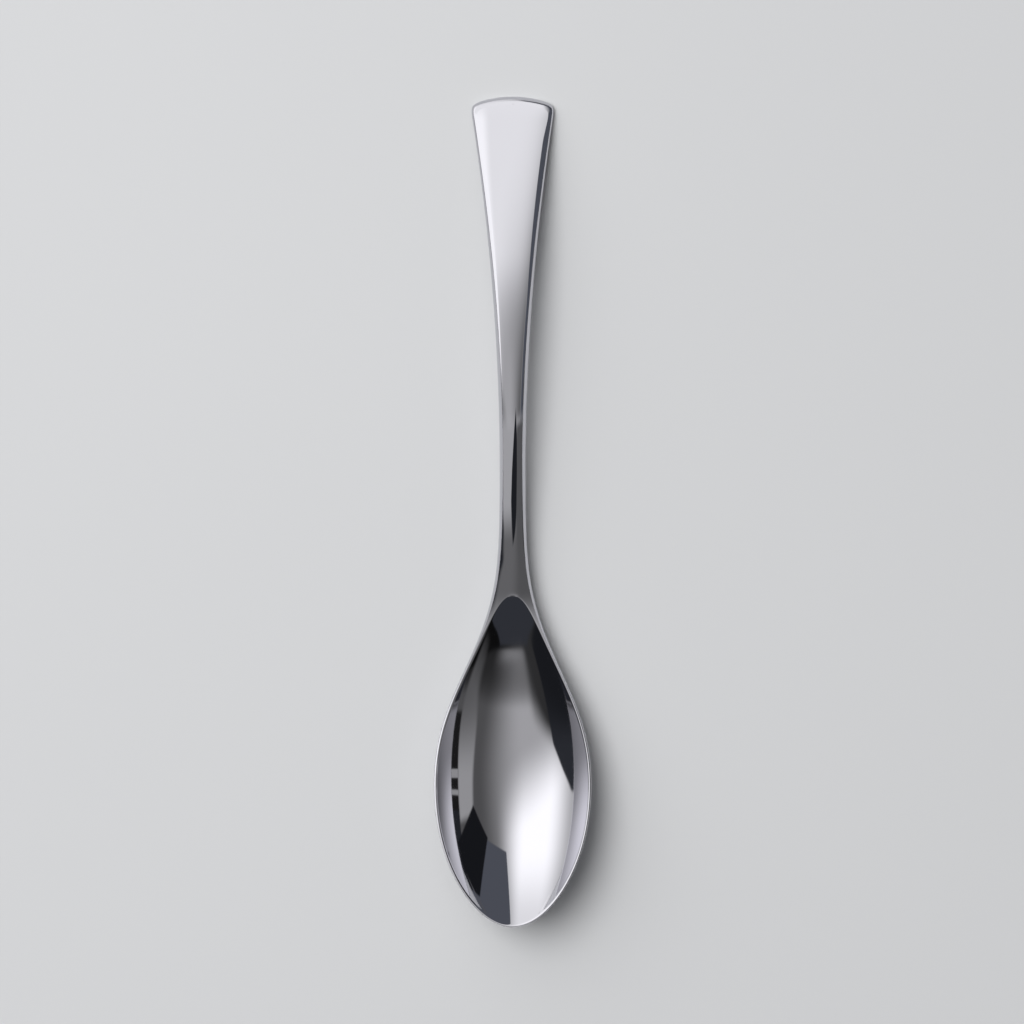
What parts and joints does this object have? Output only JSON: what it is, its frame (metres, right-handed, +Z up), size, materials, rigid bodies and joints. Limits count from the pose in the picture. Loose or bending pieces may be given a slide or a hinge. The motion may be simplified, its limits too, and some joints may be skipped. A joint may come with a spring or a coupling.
{
  "type": "quenelle spoon",
  "caption": "Polished steel quenelle spoon with a deep egg-shaped bowl, a slim neck and a flat handle that flares to a gently curved end, for scooping and shaping soft food.",
  "frame": {"origin": "on the surface that the spoon lies on, under the middle of its length and width", "axes": "+Z up, out of the bowl; +Y along the spoon, from the bowl towards the handle's end; +X across it"},
  "size_m": [0.0382, 0.2, 0.0167],
  "materials": {
    "polished_steel": "polished"
  },
  "bodies": {
    "root": {"spoon": "polished_steel"}
  },
  "joints": []
}
